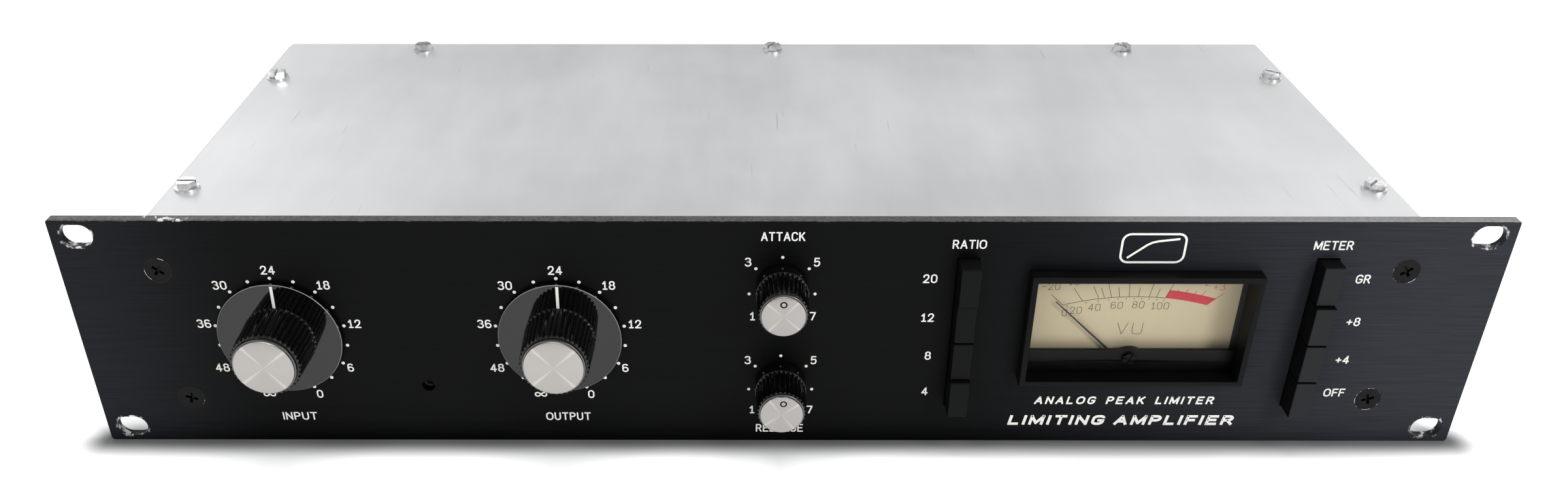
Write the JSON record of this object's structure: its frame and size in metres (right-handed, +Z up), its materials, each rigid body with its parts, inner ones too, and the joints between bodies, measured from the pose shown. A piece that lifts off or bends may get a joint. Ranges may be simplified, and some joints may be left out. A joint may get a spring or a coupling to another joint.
{
  "type": "rack compressor",
  "caption": "Two-unit rack-mount audio peak limiter with rotary level and timing knobs, push-button columns and a needle meter on a black panel.",
  "frame": {"origin": "centre of the four rack slots, on the rear face of the front panel, which meets the rack's rails", "axes": "+X right as seen from the front, +Y back into the rack, +Z up"},
  "size_m": [0.4826, 0.216, 0.0882],
  "materials": {
    "black_panel": "black anodised, fine horizontal brushing",
    "black_screws": "black oxide",
    "board": "glass-epoxy laminate",
    "brass": "plated brass",
    "brass_plated": "nickel-plated brass",
    "button_black": "matt moulding",
    "can": "painted steel can",
    "chassis": "clear anodised sheet",
    "clear": "clear acrylic",
    "component": "lacquered",
    "control_can": "plated can",
    "cover": "satin anodised sheet",
    "dial": "printed cream card",
    "knob_black": "glossy moulding",
    "knob_cap": "spun brushed aluminium",
    "lamination": "varnished laminations",
    "meter_black": "fine matt moulding",
    "meter_case": "moulded phenolic",
    "needle": "black painted aluminium",
    "shaft": "turned steel",
    "switch_frame": "zinc plated frame",
    "winding": "taped copper winding",
    "zinc_screws": "zinc plated"
  },
  "bodies": {
    "chassis": {"attack_control_body": "control_can", "board_components": "component", "board_standoffs": "zinc_screws", "bottom_cover": "cover", "bottom_cover_screws": "zinc_screws", "chassis_front_wall": "chassis", "chassis_left_side": "chassis", "chassis_rear_panel": "chassis", "chassis_right_side": "chassis", "circuit_board": "board", "control_nuts": "zinc_screws", "front_panel": "black_panel", "front_panel_screws": "black_screws", "fuse_holder": "meter_black", "input_control_body": "control_can", "mains_inlet": "meter_black", "mains_inlet_pins": "brass_plated", "meter_bezel": "meter_black", "meter_case": "meter_case", "meter_dial": "dial", "meter_lower_cover": "meter_black", "meter_switch_bank": "switch_frame", "meter_window": "clear", "output_control_body": "control_can", "ratio_switch_bank": "switch_frame", "release_control_body": "control_can", "signal_transformers": "can", "terminal_screws": "zinc_screws", "terminal_strip": "meter_black", "top_cover": "cover", "top_cover_screws": "zinc_screws", "transformer_core": "lamination", "transformer_winding": "winding", "trimmer_body": "meter_black"},
    "input_control": {"input_knob_skirt": "clear", "input_knob_body": "knob_black", "input_knob_cap": "knob_cap", "input_control_shaft": "shaft"},
    "output_control": {"output_knob_skirt": "clear", "output_knob_body": "knob_black", "output_knob_cap": "knob_cap", "output_control_shaft": "shaft"},
    "attack_control": {"attack_knob_body": "knob_black", "attack_knob_cap": "knob_cap", "attack_control_shaft": "shaft"},
    "release_control": {"release_knob_body": "knob_black", "release_knob_cap": "knob_cap", "release_control_shaft": "shaft"},
    "ratio_key_20": {"ratio_button_20": "button_black"},
    "ratio_key_12": {"ratio_button_12": "button_black"},
    "ratio_key_8": {"ratio_button_8": "button_black"},
    "ratio_key_4": {"ratio_button_4": "button_black"},
    "meter_key_gr": {"meter_button_gr": "button_black"},
    "meter_key_plus8": {"meter_button_plus8": "button_black"},
    "meter_key_plus4": {"meter_button_plus4": "button_black"},
    "meter_key_off": {"meter_button_off": "button_black"},
    "meter_movement": {"meter_needle": "needle"},
    "meter_zero": {"meter_zero_screw": "meter_black"},
    "trimmer_preset": {"trimmer_rotor": "brass"},
    "fuse_cap": {"fuse_cap": "meter_black"}
  },
  "joints": [
    {"name": "input_turn", "type": "hinge", "parent": "chassis", "child": "input_control", "pos_m": [-0.1718, -0.0032, -0.00005], "axis": [0, 1, 0], "range_deg": [-160, 160]},
    {"name": "output_turn", "type": "hinge", "parent": "chassis", "child": "output_control", "pos_m": [-0.0757, -0.0032, -0.00005], "axis": [0, 1, 0], "range_deg": [-160, 160]},
    {"name": "attack_turn", "type": "hinge", "parent": "chassis", "child": "attack_control", "pos_m": [0.00025, -0.0032, 0.01905], "axis": [0, 1, 0], "range_deg": [-154, 154]},
    {"name": "release_turn", "type": "hinge", "parent": "chassis", "child": "release_control", "pos_m": [0.00025, -0.0032, -0.01945], "axis": [0, 1, 0], "range_deg": [-161, 147]},
    {"name": "ratio_press_20", "type": "slide", "parent": "chassis", "child": "ratio_key_20", "axis": [0, 1, 0], "range_m": [0, 0.0035], "stiffness_N_per_m": 150, "springref_m": -0.004},
    {"name": "ratio_press_12", "type": "slide", "parent": "chassis", "child": "ratio_key_12", "axis": [0, 1, 0], "range_m": [-0.0015, 0.002]},
    {"name": "ratio_press_8", "type": "slide", "parent": "chassis", "child": "ratio_key_8", "axis": [0, 1, 0], "range_m": [-0.0015, 0.002]},
    {"name": "ratio_press_4", "type": "slide", "parent": "chassis", "child": "ratio_key_4", "axis": [0, 1, 0], "range_m": [0, 0.0035], "stiffness_N_per_m": 150, "springref_m": -0.004},
    {"name": "meter_press_gr", "type": "slide", "parent": "chassis", "child": "meter_key_gr", "axis": [0, 1, 0], "range_m": [-0.0015, 0.002]},
    {"name": "meter_press_plus8", "type": "slide", "parent": "chassis", "child": "meter_key_plus8", "axis": [0, 1, 0], "range_m": [0, 0.0035], "stiffness_N_per_m": 150, "springref_m": -0.004},
    {"name": "meter_press_plus4", "type": "slide", "parent": "chassis", "child": "meter_key_plus4", "axis": [0, 1, 0], "range_m": [0, 0.0035], "stiffness_N_per_m": 150, "springref_m": -0.004},
    {"name": "meter_press_off", "type": "slide", "parent": "chassis", "child": "meter_key_off", "axis": [0, 1, 0], "range_m": [0, 0.0035], "stiffness_N_per_m": 150, "springref_m": -0.004},
    {"name": "needle_swing", "type": "hinge", "parent": "chassis", "child": "meter_movement", "pos_m": [0.1219, -0.0078, -0.01465], "axis": [0, 1, 0], "range_deg": [0, 94.2], "stiffness_Nm_per_rad": 0.0002, "springref_deg": -17.19},
    {"name": "zero_adjust", "type": "hinge", "parent": "chassis", "child": "meter_zero", "pos_m": [0.1216, -0.0032, -0.00975], "axis": [0, 1, 0], "range_deg": [-45, 45]},
    {"name": "trimmer_turn", "type": "hinge", "parent": "chassis", "child": "trimmer_preset", "pos_m": [-0.12375, 0.003, -0.02055], "axis": [0, 1, 0], "range_deg": [-135, 135]},
    {"name": "fuse_cap_turn", "type": "hinge", "parent": "chassis", "child": "fuse_cap", "pos_m": [-0.105, 0.18, -0.008], "axis": [0, 1, 0], "range_deg": [0, 60]}
  ]
}
